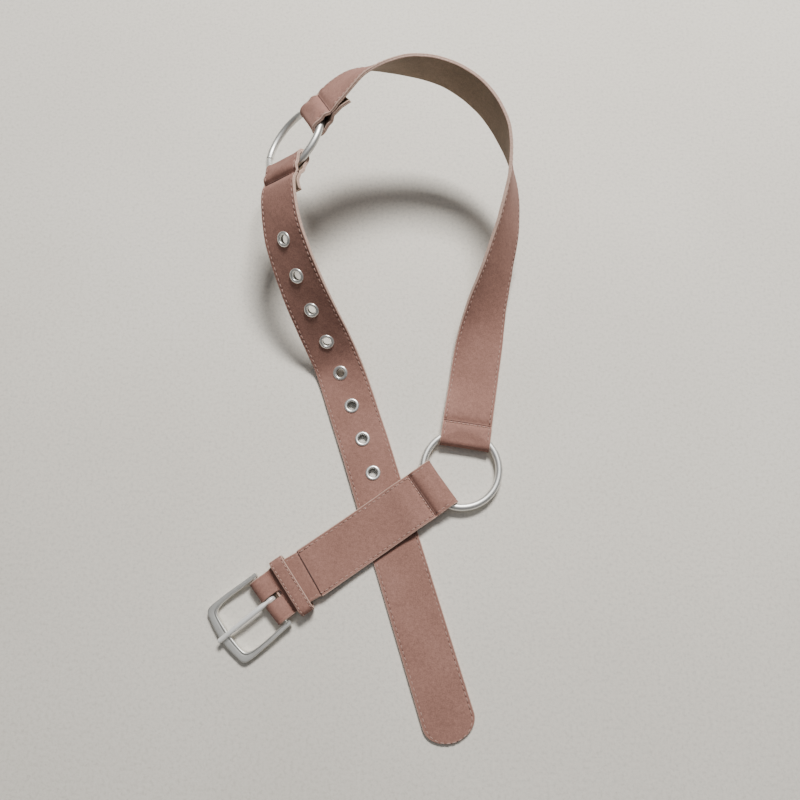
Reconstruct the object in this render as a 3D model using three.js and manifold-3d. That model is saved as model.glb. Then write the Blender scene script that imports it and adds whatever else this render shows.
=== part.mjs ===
// Ring belt lying on a flat surface: three soft strap lengths joined by two metal rings, with a
// pronged buckle and a keeper loop at one end and a row of metal eyelets in the tip strap.
// Millimetres, +Z up. The plan is laid out from the centre of the lower ring, and the whole group
// is then moved so that its origin is the middle of the belt's footprint, on the surface.

import * as THREE from 'three';
import { mergeVertices } from 'three/addons/utils/BufferGeometryUtils.js';
import Module from 'manifold-3d';

const wasm = await Module();
wasm.setup();

const DEG = Math.PI / 180;
const UP = new THREE.Vector3(0, 0, 1);

// Strap stock
const STRAP_WIDTH = 35;
const STRAP_THICK = 2.4;
const EDGE_CHAMFER = 0.5;
const LAYER_GAP = 0.3;
const LAYER_PITCH = STRAP_THICK + LAYER_GAP;
const STATION_STEP = 5;

// How far past a seam a strap still runs straight
const SEAM_LEAD = 7;

// Rings
const RING_RADIUS = 26.5;
const WIRE_RADIUS = 2.5;
const RING_SIDES = 12;
const RING_STEPS = 40;
const RING_SPLIT_DEG = 0.8;
const WIRE_CLEARANCE = 0.3;

// Strap ends folded round a ring: the fold's centre and the seam, both from the ring's centre
const FOLD_FROM_RING = 18.9;
const SEAM_FROM_RING = 33;
const RING_FOLD_STRAIGHT = 8.6;
const RING_TAIL = 13;
const UPPER_TAIL_LIFT = 2.5;
const FOLD_TURNS = 8;

// Lower ring, flat on the folded straps under it
const LOWER_RING = new THREE.Vector3(0, 0, WIRE_RADIUS + WIRE_CLEARANCE + STRAP_THICK);
const LOWER_LONG_STRAP_DEG = 81;
const LOWER_BUCKLE_STRAP_DEG = 214.4;

// Upper ring, held up and leaning on the two straps that pull at it
const UPPER_RING = new THREE.Vector3(-116, 220.2, 64);
const UPPER_LEAN_DEG = 43.1;
const UPPER_LEAN_TOWARDS_DEG = 161.6;
const UPPER_TIP_STRAP_DEG = 9.3;
const UPPER_LONG_STRAP_DEG = 140;
const UPPER_SPLIT_DEG = 291;

// Long strap between the rings: centre line and roll about it, from the lower ring to the upper
const LONG_ROUTE = [
  { x: 10.2, y: 61.8, z: 3.1, roll: -1 },
  { x: 12.7, y: 77.3, z: 3.4, roll: -4 },
  { x: 15, y: 90.5, z: 5.3, roll: -11 },
  { x: 17.8, y: 105.3, z: 9.4, roll: -24 },
  { x: 20.7, y: 118.8, z: 15.6, roll: -36 },
  { x: 24.3, y: 131.5, z: 22.6, roll: -46 },
  { x: 27.9, y: 144, z: 29.7, roll: -53 },
  { x: 34.2, y: 170.5, z: 43.5, roll: -62 },
  { x: 36.2, y: 198, z: 55, roll: -74 },
  { x: 30.2, y: 226, z: 64.7, roll: -87 },
  { x: 14, y: 249, z: 73.5, roll: -86.5 },
  { x: -11, y: 262.5, z: 81.2, roll: -79 },
  { x: -39.7, y: 264.8, z: 86.7, roll: -69 },
  { x: -69.5, y: 258, z: 88.5, roll: -46 },
];

// Tip strap: from the upper ring down to the surface, then straight on to the tip
const TIP_ROUTE = [
  { x: -122.2, y: 155.6, z: 64.4, roll: -41 },
  { x: -116.3, y: 136, z: 55.5, roll: -38 },
  { x: -109.1, y: 118.3, z: 44.2, roll: -34 },
  { x: -101, y: 101.8, z: 31, roll: -29 },
  { x: -92.9, y: 86.8, z: 17.3, roll: -23 },
  { x: -87.4, y: 75.4, z: 8.9, roll: -19 },
  { x: -82, y: 61.1, z: 4.4, roll: -10.5 },
  { x: -77.3, y: 47.1, z: 3, roll: -5 },
  { x: -72.7, y: 33, z: 2.2, roll: -2 },
  { x: -68, y: 19, z: 2, roll: 0 },
];
const TIP_HEADING_DEG = -72.7;
const TIP_FLAT_HEIGHTS = [
  { run: 24, height: 2 },
  { run: 38, height: 1.8 },
  { run: 46, height: 1.35 },
  { run: 60, height: 1.2 },
  { run: 100, height: 1.2 },
  { run: 145, height: 1.2 },
  { run: 190.5, height: 1.2 },
];
const TIP_ROUND_LENGTH = 13;
const TIP_ROUND_STEPS = 8;
const TIP_LAST_HALF_WIDTH = 2.5;

// Eyelets, counted from the seam at the upper ring
const EYELET_COUNT = 8;
const FIRST_EYELET = 43;
const EYELET_PITCH = 25.4;
const EYELET_BORE_RADIUS = 3;
const EYELET_TUBE_RADIUS = 3.4;
const EYELET_FLANGE_RADIUS = 5.15;
const EYELET_BACK_RADIUS = 4.5;
const EYELET_FRONT_GAP = 0.6;
const EYELET_BACK_GAP = 0.4;
const EYELET_FLANGE_HEIGHT = 0.7;
const EYELET_BACK_HEIGHT = 0.3;
const EYELET_SIDES = 12;
const PUNCH_RADIUS = EYELET_TUBE_RADIUS + 0.3;
const PUNCH_LENGTH = 8;
const PUNCH_SIDES = 20;

// Buckle: its bar lies in the folded end of the buckle strap
const BAR_FROM_RING = 156;
const BAR_HEIGHT = 5;
const BAR_RADIUS = 1.9;
const BAR_CLEARANCE = 0.4;
const BUCKLE_HEADING_DEG = 218.7;
const BUCKLE_PITCH_DEG = 4.3;
const BUCKLE_THICK = 4;
const BUCKLE_BEVEL = 1.1;
const BUCKLE_LENGTH = 40.6;
const BUCKLE_HALF_WIDTH = 22.3;
const BUCKLE_END_HALF_WIDTH = 20.5;
const WINDOW_LENGTH = 34.2;
const WINDOW_HALF_WIDTH = 18.2;
const WINDOW_CORNER = 4;
const BUCKLE_SEAM_FROM_BAR = 8.3;
const BUCKLE_FOLD_STRAIGHT = 0.5;
const BUCKLE_TAIL = 25;
const BUCKLE_SEAM_HEIGHT = 5.7;

// Buckle strap: height of its centre line along the straight run from the lower ring's seam
const BUCKLE_STRAP_HEIGHTS = [
  { run: 6, height: 7.2 },
  { run: 14, height: 7.6 },
  { run: 27, height: 5.4 },
  { run: 40, height: 4.5 },
  { run: 53, height: 4.4 },
  { run: 66, height: 4.2 },
  { run: 79, height: 4.8 },
  { run: 91, height: 5.7 },
];

// Prong on the bar, and the slot in the fold that lets it swing
const PRONG_WIDTH = 3.4;
const PRONG_EYE_INNER = BAR_RADIUS + 0.3;
const PRONG_EYE_OUTER = 3.7;
const PRONG_REACH = 41.4;
const PRONG_ROOT_RADIUS = 1.65;
const PRONG_TIP_RADIUS = 1.25;
const PRONG_ROOT_HEIGHT = 2.1;
const PRONG_TIP_HEIGHT = 3.65;
const PRONG_SIDES = 12;
const SLOT_WIDTH = 4.4;
const SLOT_FRONT = 9;
const SLOT_BACK = 4.6;
const SLOT_PAST_FOLD = 6;
const SLOT_DEPTH = 8;

// Keeper: a closed band round both layers of the buckle strap
const KEEPER_FROM_RING = 139;
const KEEPER_LENGTH = 9.6;
const KEEPER_WALL = 1.5;
const KEEPER_INNER_WIDTH = 38.6;
const KEEPER_INNER_HEIGHT = 8.6;
const KEEPER_CORNER = 2.6;

const suede = new THREE.MeshStandardMaterial({ color: 0xb38a7e, roughness: 0.9, metalness: 0 });
const satinMetal = new THREE.MeshStandardMaterial({ color: 0xb9bab6, roughness: 0.35, metalness: 1 });
const brightMetal = new THREE.MeshStandardMaterial({ color: 0xcfcfcb, roughness: 0.2, metalness: 1 });

const belt = new THREE.Group();

function addPart(name, geometry, material) {
  const mesh = new THREE.Mesh(geometry, material);
  mesh.name = name;
  belt.add(mesh);
  return mesh;
}

function headingVector(deg) {
  return new THREE.Vector3(Math.cos(deg * DEG), Math.sin(deg * DEG), 0);
}

// Boolean cuts

function toManifold(geometry) {
  const bare = geometry.clone();
  bare.deleteAttribute('normal');
  bare.deleteAttribute('uv');
  const merged = mergeVertices(bare, 1e-4);
  const mesh = new wasm.Mesh({
    numProp: 3,
    vertProperties: new Float32Array(merged.attributes.position.array),
    triVerts: new Uint32Array(merged.index.array),
  });
  return new wasm.Manifold(mesh);
}

function toGeometry(solid) {
  const mesh = solid.getMesh();
  const geometry = new THREE.BufferGeometry();
  geometry.setAttribute('position', new THREE.BufferAttribute(mesh.vertProperties, 3));
  geometry.setIndex(new THREE.BufferAttribute(mesh.triVerts, 1));
  geometry.computeVertexNormals();
  return geometry;
}

function cut(geometry, tools) {
  let solid = toManifold(geometry);
  for (const tool of tools) solid = solid.subtract(toManifold(tool));
  return toGeometry(solid);
}

function join(first, others) {
  let solid = toManifold(first);
  for (const other of others) solid = solid.add(toManifold(other));
  return toGeometry(solid);
}

// Closed solid through a row of rings of points, each ring turning the same way round the travel
function loft(rings) {
  const sides = rings[0].length;
  const positions = rings.flat().flatMap((p) => [p.x, p.y, p.z]);
  const triangles = [];
  for (let i = 0; i < rings.length - 1; i += 1) {
    for (let k = 0; k < sides; k += 1) {
      const a = i * sides + k;
      const b = i * sides + ((k + 1) % sides);
      triangles.push(a, b, b + sides, a, b + sides, a + sides);
    }
  }
  const last = (rings.length - 1) * sides;
  for (let k = 1; k < sides - 1; k += 1) {
    triangles.push(0, k + 1, k);
    triangles.push(last, last + k, last + k + 1);
  }
  const geometry = new THREE.BufferGeometry();
  geometry.setAttribute('position', new THREE.Float32BufferAttribute(positions, 3));
  geometry.setIndex(triangles);
  geometry.computeVertexNormals();
  return geometry;
}

// Strap stations: p is the centre, w the width direction, and the face normal is w x travel

function faceNormals(stations) {
  return stations.map((station, i) => {
    const before = stations[Math.max(0, i - 1)].p;
    const after = stations[Math.min(stations.length - 1, i + 1)].p;
    const travel = after.clone().sub(before).normalize();
    return station.w.clone().cross(travel).normalize();
  });
}

function strapSolid(stations) {
  const halfThick = STRAP_THICK / 2;
  const normals = faceNormals(stations);
  const rings = stations.map((station, i) => {
    const halfWidth = station.half ?? STRAP_WIDTH / 2;
    const section = [
      { n: halfThick, w: -halfWidth + EDGE_CHAMFER },
      { n: halfThick, w: halfWidth - EDGE_CHAMFER },
      { n: halfThick - EDGE_CHAMFER, w: halfWidth },
      { n: -halfThick + EDGE_CHAMFER, w: halfWidth },
      { n: -halfThick, w: halfWidth - EDGE_CHAMFER },
      { n: -halfThick, w: -halfWidth + EDGE_CHAMFER },
      { n: -halfThick + EDGE_CHAMFER, w: -halfWidth },
      { n: halfThick - EDGE_CHAMFER, w: -halfWidth },
    ];
    return section.map(({ n, w }) => (
      station.p.clone().addScaledVector(normals[i], n).addScaledVector(station.w, w)
    ));
  });
  return loft(rings);
}

// Width direction of a strap that travels along a direction, rolled about it
function widthDirection(travel, roll) {
  const right = travel.clone().cross(UP).normalize();
  const lift = right.clone().cross(travel);
  return right.multiplyScalar(Math.cos(roll)).addScaledVector(lift, Math.sin(roll));
}

function rollOf(travel, width) {
  const right = travel.clone().cross(UP).normalize();
  const lift = right.clone().cross(travel);
  return Math.atan2(width.dot(lift), width.dot(right));
}

// Even stations along a smooth curve through the rows, each with its centre and its roll
function sampleRoute(rows, step) {
  const curve = new THREE.CatmullRomCurve3(rows.map((row) => row.p));
  const rolls = new THREE.CatmullRomCurve3(
    rows.map((row) => new THREE.Vector3(row.roll, 0, 0)), false, 'catmullrom',
  );
  curve.arcLengthDivisions = 2000;
  const length = curve.getLength();
  const count = Math.round(length / step);
  const stations = [];
  for (let i = 0; i <= count; i += 1) {
    const t = curve.getUtoTmapping(i / count);
    const travel = curve.getTangent(t);
    stations.push({
      p: curve.getPoint(t), w: widthDirection(travel, rolls.getPoint(t).x), at: (i / count) * length,
    });
  }
  return { stations, length, curve, rolls };
}

// A strap end folded round a wire. fold gives the wire's place, the way to the strap and the face
// normal there; the stations run from the front seam round the wire to the end of the tail, which
// follows the back of the strap
function foldedEnd(fold, route) {
  const { centre, toStrap, normal, radius, straight, seam, front, tail, tailLift, width } = fold;
  const back = front - LAYER_PITCH;
  const at = (a, b) => ({
    p: centre.clone().addScaledVector(toStrap, a).addScaledVector(normal, b), w: width,
  });
  const ramp = [0.25, 0.5, 0.75, 1];
  const smooth = (q) => q * q * (3 - 2 * q);
  const stations = [];
  for (const q of ramp) {
    stations.push(at(seam + (straight - seam) * q, front + (radius - front) * smooth(q)));
  }
  for (let i = 0; i <= FOLD_TURNS; i += 1) {
    const angle = (90 + (180 * i) / FOLD_TURNS) * DEG;
    stations.push(at(radius * Math.cos(angle), radius * Math.sin(angle)));
  }
  for (const q of [...ramp].reverse()) {
    stations.push(at(seam + (straight - seam) * q, back + (-radius - back) * smooth(q)));
  }
  const normals = faceNormals(route);
  const start = route[0].at;
  const under = route.filter((station) => Math.abs(station.at - start) <= tail + 0.01);
  under.forEach((station, i) => {
    const drop = LAYER_PITCH + tailLift * (Math.abs(station.at - start) / tail) ** 2;
    const p = station.p.clone().addScaledVector(normals[i], -drop);
    stations.push({ p, w: station.w });
  });
  return stations;
}

// A route seen from its far end, for folding that end
function reversed(stations) {
  return [...stations].reverse().map(({ p, w, at }) => ({ p, w: w.clone().negate(), at }));
}

function ringAxes(leanDeg, towardsDeg) {
  const normal = headingVector(towardsDeg).multiplyScalar(Math.sin(leanDeg * DEG))
    .addScaledVector(UP, Math.cos(leanDeg * DEG));
  const x = UP.clone().cross(headingVector(towardsDeg)).normalize();
  const y = normal.clone().cross(x);
  return { normal, x, y };
}

function ringFold(centre, axes, deg, tailLift) {
  const toStrap = axes.x.clone().multiplyScalar(Math.cos(deg * DEG))
    .addScaledVector(axes.y, Math.sin(deg * DEG));
  const front = LAYER_PITCH / 2;
  return {
    centre: centre.clone().addScaledVector(toStrap, FOLD_FROM_RING),
    toStrap,
    normal: axes.normal,
    width: toStrap.clone().cross(axes.normal),
    radius: WIRE_RADIUS + WIRE_CLEARANCE + STRAP_THICK / 2,
    straight: RING_FOLD_STRAIGHT,
    seam: SEAM_FROM_RING - FOLD_FROM_RING,
    front,
    tail: RING_TAIL,
    tailLift,
  };
}

function seamPoint(fold, past = 0) {
  return fold.centre.clone().addScaledVector(fold.toStrap, fold.seam + past)
    .addScaledVector(fold.normal, fold.front);
}

// The two route rows at a fold that start or end a route there
function seamRows(fold, lead) {
  return [0, lead].map((past) => ({
    p: seamPoint(fold, past), roll: rollOf(fold.toStrap, fold.width),
  }));
}

const lowerAxes = { normal: UP, x: headingVector(0), y: headingVector(90) };
const upperAxes = ringAxes(UPPER_LEAN_DEG, UPPER_LEAN_TOWARDS_DEG);

function tableRows(table) {
  return table.map(({ x, y, z, roll }) => ({ p: new THREE.Vector3(x, y, z), roll: roll * DEG }));
}

// Rows at the far end of a route, where the travel runs towards the fold
function arrivingRows(fold, lead) {
  const travel = fold.toStrap.clone().negate();
  const width = fold.width.clone().negate();
  return [lead, 0].map((past) => ({ p: seamPoint(fold, past), roll: rollOf(travel, width) }));
}

// Rings

function wireRing(centre, axes, splitDeg, splitAtDeg) {
  const rings = [];
  const span = 360 - splitDeg;
  for (let i = 0; i <= RING_STEPS; i += 1) {
    const turn = (splitAtDeg + splitDeg / 2 + (span * i) / RING_STEPS) * DEG;
    const out = axes.x.clone().multiplyScalar(Math.cos(turn)).addScaledVector(axes.y, Math.sin(turn));
    const ring = [];
    for (let k = 0; k < RING_SIDES; k += 1) {
      const angle = (2 * Math.PI * k) / RING_SIDES;
      ring.push(centre.clone()
        .addScaledVector(out, RING_RADIUS + WIRE_RADIUS * Math.sin(angle))
        .addScaledVector(axes.normal, WIRE_RADIUS * Math.cos(angle)));
    }
    rings.push(ring);
  }
  return loft(rings);
}

// Long strap

const longStart = ringFold(LOWER_RING, lowerAxes, LOWER_LONG_STRAP_DEG, 0);
const longEnd = ringFold(UPPER_RING, upperAxes, UPPER_LONG_STRAP_DEG, UPPER_TAIL_LIFT);
const longRoute = sampleRoute(
  [...seamRows(longStart, SEAM_LEAD), ...tableRows(LONG_ROUTE), ...arrivingRows(longEnd, SEAM_LEAD)],
  STATION_STEP,
).stations;

function strapBetween(startFold, route, endFold) {
  const start = startFold ? reversed(foldedEnd(startFold, route)) : [];
  const flipped = start.map(({ p, w }) => ({ p, w: w.clone().negate() }));
  const end = endFold ? foldedEnd(endFold, reversed(route)) : [];
  const turned = end.map(({ p, w }) => ({ p, w: w.clone().negate() }));
  return strapSolid([...flipped, ...route, ...turned]);
}

addPart('long_strap', strapBetween(longStart, longRoute, longEnd), suede);

// Tip strap with its eyelets

const tipFold = ringFold(UPPER_RING, upperAxes, UPPER_TIP_STRAP_DEG, UPPER_TAIL_LIFT);
const tipRows = [...seamRows(tipFold, SEAM_LEAD), ...tableRows(TIP_ROUTE)];
const tipHeading = headingVector(TIP_HEADING_DEG);
const landing = tipRows[tipRows.length - 1].p.clone().setZ(0);
for (const { run, height } of TIP_FLAT_HEIGHTS) {
  tipRows.push({ p: landing.clone().addScaledVector(tipHeading, run).setZ(height), roll: 0 });
}
const tipRoute = sampleRoute(tipRows, STATION_STEP);

function roundedTip(route) {
  const last = route[route.length - 1];
  const stations = [];
  const lastAngle = Math.acos(TIP_LAST_HALF_WIDTH / (STRAP_WIDTH / 2));
  for (let i = 1; i <= TIP_ROUND_STEPS; i += 1) {
    const angle = (lastAngle * i) / TIP_ROUND_STEPS;
    stations.push({
      p: last.p.clone().addScaledVector(tipHeading, TIP_ROUND_LENGTH * Math.sin(angle)),
      w: last.w,
      half: (STRAP_WIDTH / 2) * Math.cos(angle),
    });
  }
  return stations;
}

function eyeletPlaces(route) {
  const places = [];
  for (let i = 0; i < EYELET_COUNT; i += 1) {
    const t = route.curve.getUtoTmapping((FIRST_EYELET + EYELET_PITCH * i) / route.length);
    const travel = route.curve.getTangent(t);
    const width = widthDirection(travel, route.rolls.getPoint(t).x);
    const normal = width.clone().cross(travel);
    places.push(new THREE.Matrix4().makeBasis(width, normal.clone().cross(width), normal)
      .setPosition(route.curve.getPoint(t)));
  }
  return places;
}

function eyeletGeometry() {
  const seat = STRAP_THICK / 2 + EYELET_FRONT_GAP;
  const back = -STRAP_THICK / 2 - EYELET_BACK_GAP;
  const top = seat + EYELET_FLANGE_HEIGHT;
  const foot = back - EYELET_BACK_HEIGHT;
  const profile = [
    [EYELET_BORE_RADIUS, foot],
    [EYELET_BACK_RADIUS, foot],
    [EYELET_BACK_RADIUS, back],
    [EYELET_TUBE_RADIUS, back],
    [EYELET_TUBE_RADIUS, seat],
    [EYELET_FLANGE_RADIUS, seat],
    [EYELET_FLANGE_RADIUS - 0.25, seat + 0.45],
    [(EYELET_FLANGE_RADIUS + EYELET_BORE_RADIUS) / 2 + 0.3, top],
    [(EYELET_FLANGE_RADIUS + EYELET_BORE_RADIUS) / 2 - 0.4, top],
    [EYELET_BORE_RADIUS, seat + 0.2],
    [EYELET_BORE_RADIUS, foot],
  ].map(([r, z]) => new THREE.Vector2(r, z));
  return new THREE.LatheGeometry(profile, EYELET_SIDES).rotateX(Math.PI / 2);
}

const tipStations = tipRoute.stations;
const tipStart = reversed(foldedEnd(tipFold, tipStations));
const tipBlank = strapSolid([
  ...tipStart.map(({ p, w }) => ({ p, w: w.clone().negate() })),
  ...tipStations,
  ...roundedTip(tipStations),
]);
const places = eyeletPlaces(tipRoute);
const punches = places.map((place) => (
  new THREE.CylinderGeometry(PUNCH_RADIUS, PUNCH_RADIUS, PUNCH_LENGTH, PUNCH_SIDES)
    .rotateX(Math.PI / 2).applyMatrix4(place)
));
addPart('tip_strap', cut(tipBlank, punches), suede);
places.forEach((place, i) => {
  const eyelet = addPart(`eyelet_${i + 1}`, eyeletGeometry(), brightMetal);
  eyelet.applyMatrix4(place);
});

// Buckle strap

const buckleStart = ringFold(LOWER_RING, lowerAxes, LOWER_BUCKLE_STRAP_DEG, 0);
const strapHeading = headingVector(LOWER_BUCKLE_STRAP_DEG);
const buckleHeading = headingVector(BUCKLE_HEADING_DEG);
const barCentre = strapHeading.clone().multiplyScalar(BAR_FROM_RING).setZ(BAR_HEIGHT);
const toStrap = buckleHeading.clone().negate();
const barFold = {
  centre: barCentre,
  toStrap,
  normal: UP,
  width: toStrap.clone().cross(UP),
  radius: BAR_RADIUS + BAR_CLEARANCE + STRAP_THICK / 2,
  straight: BUCKLE_FOLD_STRAIGHT,
  seam: BUCKLE_SEAM_FROM_BAR,
  front: BUCKLE_SEAM_HEIGHT - BAR_HEIGHT,
  tail: BUCKLE_TAIL,
  tailLift: 0,
};
const buckleRows = [
  { p: seamPoint(buckleStart), roll: 0 },
  ...BUCKLE_STRAP_HEIGHTS.map(({ run, height }) => ({
    p: strapHeading.clone().multiplyScalar(SEAM_FROM_RING + run).setZ(height), roll: 0,
  })),
  ...arrivingRows(barFold, SEAM_LEAD),
];
const buckleRoute = sampleRoute(buckleRows, STATION_STEP).stations;

function placeOnBar(geometry, pitchDeg) {
  return geometry.applyMatrix4(new THREE.Matrix4().makeRotationFromEuler(
    new THREE.Euler(0, pitchDeg * DEG, BUCKLE_HEADING_DEG * DEG, 'ZYX'),
  ).setPosition(barCentre));
}

function slotTool(from, to, low, high) {
  return placeOnBar(new THREE.BoxGeometry(to - from, SLOT_WIDTH, high - low)
    .translate((from + to) / 2, 0, (low + high) / 2), 0);
}

addPart('buckle_strap', cut(strapBetween(buckleStart, buckleRoute, barFold), [
  slotTool(-SLOT_FRONT, SLOT_PAST_FOLD, 0, SLOT_DEPTH),
  slotTool(-SLOT_BACK, SLOT_PAST_FOLD, -SLOT_DEPTH, 0.5),
]), suede);

// Keeper

function roundedRectangle(path, halfWidth, low, high, corner) {
  path.moveTo(-halfWidth + corner, low);
  path.lineTo(halfWidth - corner, low);
  path.absarc(halfWidth - corner, low + corner, corner, -Math.PI / 2, 0);
  path.lineTo(halfWidth, high - corner);
  path.absarc(halfWidth - corner, high - corner, corner, 0, Math.PI / 2);
  path.lineTo(-halfWidth + corner, high);
  path.absarc(-halfWidth + corner, high - corner, corner, Math.PI / 2, Math.PI);
  path.lineTo(-halfWidth, low + corner);
  path.absarc(-halfWidth + corner, low + corner, corner, Math.PI, 1.5 * Math.PI);
  return path;
}

function keeperGeometry() {
  const inner = KEEPER_INNER_WIDTH / 2;
  const ceiling = KEEPER_WALL + KEEPER_INNER_HEIGHT;
  const band = roundedRectangle(
    new THREE.Shape(), inner + KEEPER_WALL, 0, ceiling + KEEPER_WALL, KEEPER_CORNER,
  );
  band.holes.push(roundedRectangle(
    new THREE.Path(), inner, KEEPER_WALL, ceiling, KEEPER_CORNER - KEEPER_WALL + 0.2,
  ));
  const geometry = new THREE.ExtrudeGeometry(band, {
    depth: KEEPER_LENGTH, bevelEnabled: false, curveSegments: 5, steps: 1,
  });
  // The outline's x runs across the strap and its y up, so the band's axis is turned level
  return geometry.translate(0, 0, -KEEPER_LENGTH / 2).rotateX(Math.PI / 2).rotateZ(Math.PI / 2);
}

const keeper = addPart('keeper', keeperGeometry(), suede);
keeper.position.copy(strapHeading.clone().multiplyScalar(KEEPER_FROM_RING));
keeper.rotation.z = LOWER_BUCKLE_STRAP_DEG * DEG;

// Rings as parts

addPart('ring_a', wireRing(UPPER_RING, upperAxes, RING_SPLIT_DEG, UPPER_SPLIT_DEG), satinMetal);
addPart('ring_b', new THREE.TorusGeometry(RING_RADIUS, WIRE_RADIUS, RING_SIDES, RING_STEPS)
  .translate(LOWER_RING.x, LOWER_RING.y, LOWER_RING.z), satinMetal);

// Buckle frame, x from the bar towards the far end, y along the bar

function buckleOutline() {
  const end = BUCKLE_END_HALF_WIDTH;
  const wide = BUCKLE_HALF_WIDTH;
  const outline = new THREE.Shape();
  outline.moveTo(-2.6, end - 1.5);
  outline.quadraticCurveTo(-2.4, end, 0.5, end + 0.2);
  outline.bezierCurveTo(8, wide - 0.4, 14, wide, 22, wide);
  outline.lineTo(30, wide);
  outline.bezierCurveTo(35, wide - 0.1, 37.4, 19.5, 38.4, 15);
  outline.quadraticCurveTo(BUCKLE_LENGTH, 6, BUCKLE_LENGTH, 0);
  outline.quadraticCurveTo(BUCKLE_LENGTH, -6, 38.4, -15);
  outline.bezierCurveTo(37.4, -19.5, 35, -wide + 0.1, 30, -wide);
  outline.lineTo(22, -wide);
  outline.bezierCurveTo(14, -wide, 8, -wide + 0.4, 0.5, -end - 0.2);
  outline.quadraticCurveTo(-2.4, -end, -2.6, -end + 1.5);
  outline.closePath();
  return outline;
}

function windowOutline() {
  const half = WINDOW_HALF_WIDTH;
  const far = WINDOW_LENGTH;
  const hole = new THREE.Path();
  const open = -6;
  hole.moveTo(open, -half);
  hole.lineTo(open, half);
  hole.lineTo(far - WINDOW_CORNER, half);
  hole.absarc(far - WINDOW_CORNER, half - WINDOW_CORNER, WINDOW_CORNER, Math.PI / 2, 0, true);
  hole.lineTo(far, -half + WINDOW_CORNER);
  hole.absarc(far - WINDOW_CORNER, -half + WINDOW_CORNER, WINDOW_CORNER, 0, -Math.PI / 2, true);
  hole.closePath();
  return hole;
}

function buckleFrameGeometry() {
  const plate = new THREE.ExtrudeGeometry(buckleOutline(), {
    depth: BUCKLE_THICK - 2 * BUCKLE_BEVEL,
    bevelThickness: BUCKLE_BEVEL,
    bevelSize: BUCKLE_BEVEL,
    bevelOffset: -BUCKLE_BEVEL,
    bevelSegments: 2,
    curveSegments: 6,
  }).translate(0, 0, -BUCKLE_THICK / 2 + BUCKLE_BEVEL);
  const opening = new THREE.ExtrudeGeometry(new THREE.Shape(windowOutline().getPoints(6)), {
    depth: BUCKLE_THICK * 2, bevelEnabled: false,
  }).translate(0, 0, -BUCKLE_THICK);
  const bar = new THREE.CylinderGeometry(BAR_RADIUS, BAR_RADIUS, 2 * WINDOW_HALF_WIDTH + 2, 16);
  return join(cut(plate, [opening]), [bar]);
}

addPart('buckle_frame', placeOnBar(buckleFrameGeometry(), BUCKLE_PITCH_DEG), satinMetal);

function prongGeometry() {
  const eye = new THREE.Shape();
  eye.absarc(0, 0, PRONG_EYE_OUTER, 0, 2 * Math.PI);
  eye.holes.push(new THREE.Path().absarc(0, 0, PRONG_EYE_INNER, 0, 2 * Math.PI, true));
  const ring = new THREE.ExtrudeGeometry(eye, {
    depth: PRONG_WIDTH, bevelEnabled: false, curveSegments: 12,
  }).translate(0, 0, -PRONG_WIDTH / 2).rotateX(Math.PI / 2);
  const rings = [];
  const sections = [
    { x: 2.2, z: PRONG_ROOT_HEIGHT, r: PRONG_ROOT_RADIUS * 0.9 },
    { x: 6, z: 3, r: PRONG_ROOT_RADIUS },
    { x: 20, z: 4, r: PRONG_ROOT_RADIUS },
    { x: 32, z: 4, r: PRONG_ROOT_RADIUS - 0.1 },
    { x: PRONG_REACH - 1.5, z: PRONG_TIP_HEIGHT, r: PRONG_TIP_RADIUS },
    { x: PRONG_REACH - 0.4, z: PRONG_TIP_HEIGHT, r: PRONG_TIP_RADIUS * 0.8 },
    { x: PRONG_REACH, z: PRONG_TIP_HEIGHT, r: PRONG_TIP_RADIUS * 0.4 },
  ];
  for (const { x, z, r } of sections) {
    const ringPoints = [];
    for (let k = 0; k < PRONG_SIDES; k += 1) {
      const angle = (2 * Math.PI * k) / PRONG_SIDES;
      ringPoints.push(new THREE.Vector3(x, r * Math.cos(angle), z + r * Math.sin(angle)));
    }
    rings.push(ringPoints);
  }
  return join(ring, [loft(rings)]);
}

addPart('buckle_prong', placeOnBar(prongGeometry(), BUCKLE_PITCH_DEG), satinMetal);

const box = new THREE.Box3().setFromObject(belt, true);
const middle = box.getCenter(new THREE.Vector3());
belt.position.set(-middle.x, -middle.y, -box.min.z);
belt.updateMatrixWorld(true);

export default belt;
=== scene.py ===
"""Ring belt lying loosely crossed on a pale floor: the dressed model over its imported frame.

Lengths are worked out in millimetres in the plan of the part, whose origin is the centre of the
lower ring on the floor, and are turned into metres of the frame where meshes are made.
"""
import math

import bpy
import numpy as np
from mathutils import Matrix, Vector


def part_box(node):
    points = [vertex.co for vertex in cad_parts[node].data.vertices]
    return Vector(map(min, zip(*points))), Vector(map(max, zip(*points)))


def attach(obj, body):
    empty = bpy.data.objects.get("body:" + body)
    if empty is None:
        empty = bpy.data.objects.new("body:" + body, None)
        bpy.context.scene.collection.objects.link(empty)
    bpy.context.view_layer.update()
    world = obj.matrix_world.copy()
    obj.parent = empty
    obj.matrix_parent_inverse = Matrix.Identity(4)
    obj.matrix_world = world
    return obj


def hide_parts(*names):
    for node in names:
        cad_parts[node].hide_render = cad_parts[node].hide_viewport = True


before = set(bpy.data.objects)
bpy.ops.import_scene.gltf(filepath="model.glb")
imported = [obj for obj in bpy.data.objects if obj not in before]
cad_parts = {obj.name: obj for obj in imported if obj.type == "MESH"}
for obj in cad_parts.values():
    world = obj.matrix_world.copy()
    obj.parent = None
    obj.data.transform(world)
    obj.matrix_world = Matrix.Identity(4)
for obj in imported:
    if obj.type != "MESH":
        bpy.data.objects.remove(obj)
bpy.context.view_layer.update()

# Strap stock
STRAP_WIDTH = 35.0
HALF_WIDTH = STRAP_WIDTH / 2
STRAP_THICK = 2.4
TOP = STRAP_THICK / 2
LAYER_PITCH = 2.7
STATION_STEP = 1.2
FLOOR_GAP = 0.02

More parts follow.
